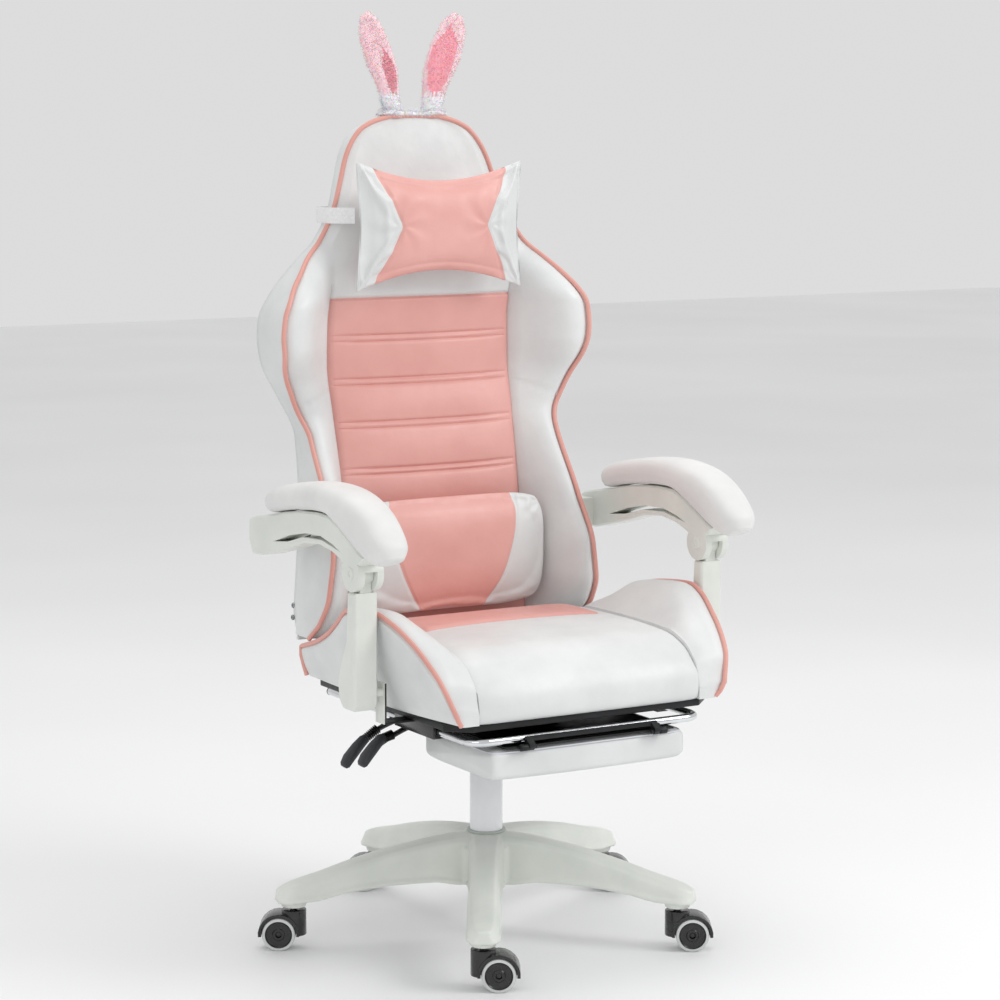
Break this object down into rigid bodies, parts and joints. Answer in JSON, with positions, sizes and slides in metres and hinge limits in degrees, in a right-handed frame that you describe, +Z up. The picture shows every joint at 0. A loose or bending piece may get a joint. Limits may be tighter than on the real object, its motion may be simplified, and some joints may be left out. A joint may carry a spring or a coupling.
{
  "type": "gaming chair",
  "caption": "Reclining bucket-seat gaming chair with linked armrests, slide-out footrest, gas lift, star base on casters and plush ears.",
  "frame": {"origin": "on the floor, under the middle of the chair's bounding box; the column's axis is 8 mm towards +X and 16 mm towards -Y of it", "axes": "+Z up, the sitter faces -Y, +X is the sitter's left"},
  "size_m": [0.6819, 0.6568, 1.391],
  "materials": {
    "white_leather": "satin, fine grain",
    "pink_leather": "satin, fine grain",
    "white_elastic": "matt, woven",
    "white_nylon": "satin, fine mould texture",
    "soft_white": "satin",
    "black_plastic": "gloss",
    "grey_tyre": "satin",
    "black_steel": "satin",
    "white_steel": "gloss",
    "chrome": "polished",
    "bare_steel": "satin",
    "pink_plush": "matt, short pile",
    "white_plush": "matt, long pile"
  },
  "bodies": {
    "base": {"star_base": "white_nylon", "column_tube": "white_steel", "column_guide_bush": "black_plastic", "thrust_bearing": "bare_steel", "caster_1_stem": "bare_steel", "caster_2_stem": "bare_steel", "caster_3_stem": "bare_steel", "caster_4_stem": "bare_steel", "caster_5_stem": "bare_steel"},
    "rod": {"piston_rod": "bare_steel"},
    "seat": {"lift_cylinder": "bare_steel", "mechanism_housing": "black_steel", "seat_board": "black_steel", "seat_cushion": "white_leather", "seat_bolster_left": "white_leather", "seat_bolster_right": "white_leather", "side_bracket_left": "black_steel", "side_bracket_right": "black_steel", "footrest_guide_left": "black_plastic", "footrest_guide_right": "black_plastic"},
    "release": {"release_pin": "bare_steel"},
    "back": {"back_frame": "black_steel", "back_cushion": "pink_leather", "back_wing_left": "white_leather", "back_wing_right": "white_leather", "back_rear_cover": "white_leather", "head_pillow": "pink_leather", "head_strap": "white_elastic", "lumbar_pillow": "pink_leather", "ear_band": "white_plush", "ear_left": "pink_plush", "ear_right": "pink_plush"},
    "arm_post_left": {"arm_post_left": "white_nylon"},
    "arm_post_right": {"arm_post_right": "white_nylon"},
    "arm_left": {"arm_shell_left": "white_nylon", "arm_pad_left": "soft_white"},
    "arm_right": {"arm_shell_right": "white_nylon", "arm_pad_right": "soft_white"},
    "height_lever": {"height_lever": "black_plastic"},
    "recline_lever": {"recline_lever": "black_plastic"},
    "footrest_slide": {"footrest_rail": "chrome", "footrest_bracket": "black_steel"},
    "footrest_pad": {"footrest_plate": "black_steel", "footrest_cushion": "white_leather"},
    "caster_1": {"caster_1_hood": "black_plastic"},
    "caster_2": {"caster_2_hood": "black_plastic"},
    "caster_3": {"caster_3_hood": "black_plastic"},
    "caster_4": {"caster_4_hood": "black_plastic"},
    "caster_5": {"caster_5_hood": "black_plastic"},
    "wheels_1": {"caster_1_wheel_a": "grey_tyre", "caster_1_wheel_b": "grey_tyre"},
    "wheels_2": {"caster_2_wheel_a": "grey_tyre", "caster_2_wheel_b": "grey_tyre"},
    "wheels_3": {"caster_3_wheel_a": "grey_tyre", "caster_3_wheel_b": "grey_tyre"},
    "wheels_4": {"caster_4_wheel_a": "grey_tyre", "caster_4_wheel_b": "grey_tyre"},
    "wheels_5": {"caster_5_wheel_a": "grey_tyre", "caster_5_wheel_b": "grey_tyre"}
  },
  "joints": [
    {"name": "seat_swivel", "type": "hinge", "parent": "base", "child": "rod", "pos_m": [0.008, -0.016, 0.085], "axis": [0, 0, 1], "continuous": true},
    {"name": "seat_lift", "type": "slide", "parent": "rod", "child": "seat", "axis": [0, 0, 1], "range_m": [0, 0.09]},
    {"name": "recline", "type": "hinge", "parent": "seat", "child": "back", "pos_m": [0.008, 0.134, 0.438], "axis": [-1, 0, 0], "range_deg": [0, 40]},
    {"name": "arm_post_left_tilt", "type": "hinge", "parent": "seat", "child": "arm_post_left", "pos_m": [0.3, -0.173, 0.425], "axis": [-1, 0, 0], "range_deg": [0, 40]},
    {"name": "arm_post_right_tilt", "type": "hinge", "parent": "seat", "child": "arm_post_right", "pos_m": [-0.284, -0.173, 0.425], "axis": [-1, 0, 0], "range_deg": [0, 40]},
    {"name": "arm_left_level", "type": "hinge", "parent": "arm_post_left", "child": "arm_left", "pos_m": [0.3, -0.176, 0.599], "axis": [1, 0, 0], "range_deg": [0, 40]},
    {"name": "arm_right_level", "type": "hinge", "parent": "arm_post_right", "child": "arm_right", "pos_m": [-0.284, -0.176, 0.599], "axis": [1, 0, 0], "range_deg": [0, 40]},
    {"name": "height_lever_lift", "type": "hinge", "parent": "seat", "child": "height_lever", "pos_m": [-0.052, -0.041, 0.366], "axis": [0, 1, 0], "range_deg": [0, 5], "stiffness_Nm_per_rad": 2, "springref_deg": -8.59},
    {"name": "recline_lever_lift", "type": "hinge", "parent": "seat", "child": "recline_lever", "pos_m": [-0.052, -0.088, 0.366], "axis": [0, 1, 0], "range_deg": [0, 5], "stiffness_Nm_per_rad": 2, "springref_deg": -8.59},
    {"name": "release_pin_press", "type": "slide", "parent": "seat", "child": "release", "axis": [0, 0, -1], "range_m": [0, 0.0055]},
    {"name": "footrest_extend", "type": "slide", "parent": "seat", "child": "footrest_slide", "axis": [0, -1, 0], "range_m": [0, 0.22]},
    {"name": "footrest_flip", "type": "hinge", "parent": "footrest_slide", "child": "footrest_pad", "pos_m": [0.008, -0.324, 0.357], "axis": [-1, 0, 0], "range_deg": [0, 180]},
    {"name": "caster_1_swivel", "type": "hinge", "parent": "base", "child": "caster_1", "pos_m": [-0.1459, -0.27468, 0.06], "axis": [0, 0, 1], "continuous": true},
    {"name": "caster_2_swivel", "type": "hinge", "parent": "base", "child": "caster_2", "pos_m": [-0.28558, 0.05043, 0.06], "axis": [0, 0, 1], "continuous": true},
    {"name": "caster_3_swivel", "type": "hinge", "parent": "base", "child": "caster_3", "pos_m": [-0.01954, 0.28374, 0.06], "axis": [0, 0, 1], "continuous": true},
    {"name": "caster_4_swivel", "type": "hinge", "parent": "base", "child": "caster_4", "pos_m": [0.28456, 0.10282, 0.06], "axis": [0, 0, 1], "continuous": true},
    {"name": "caster_5_swivel", "type": "hinge", "parent": "base", "child": "caster_5", "pos_m": [0.20646, -0.2423, 0.06], "axis": [0, 0, 1], "continuous": true},
    {"name": "caster_1_roll", "type": "hinge", "parent": "caster_1", "child": "wheels_1", "pos_m": [-0.12685, -0.28568, 0.025], "axis": [-0.5, -0.866, 0], "continuous": true},
    {"name": "caster_2_roll", "type": "hinge", "parent": "caster_2", "child": "wheels_2", "pos_m": [-0.30463, 0.06143, 0.025], "axis": [0.5, 0.866, 0], "continuous": true},
    {"name": "caster_3_roll", "type": "hinge", "parent": "caster_3", "child": "wheels_3", "pos_m": [-0.03859, 0.29474, 0.025], "axis": [0.5, 0.866, 0], "continuous": true},
    {"name": "caster_4_roll", "type": "hinge", "parent": "caster_4", "child": "wheels_4", "pos_m": [0.30361, 0.09182, 0.025], "axis": [-0.5, -0.866, 0], "continuous": true},
    {"name": "caster_5_roll", "type": "hinge", "parent": "caster_5", "child": "wheels_5", "pos_m": [0.22552, -0.2533, 0.025], "axis": [-0.5, -0.866, 0], "continuous": true}
  ],
  "couplings": [
    {"joint": "arm_post_left_tilt", "follows": "recline", "ratio": 1},
    {"joint": "arm_post_right_tilt", "follows": "recline", "ratio": 1},
    {"joint": "arm_left_level", "follows": "recline", "ratio": 1},
    {"joint": "arm_right_level", "follows": "recline", "ratio": 1},
    {"joint": "release_pin_press", "follows": "height_lever_lift", "m_per_rad": 0.06}
  ]
}
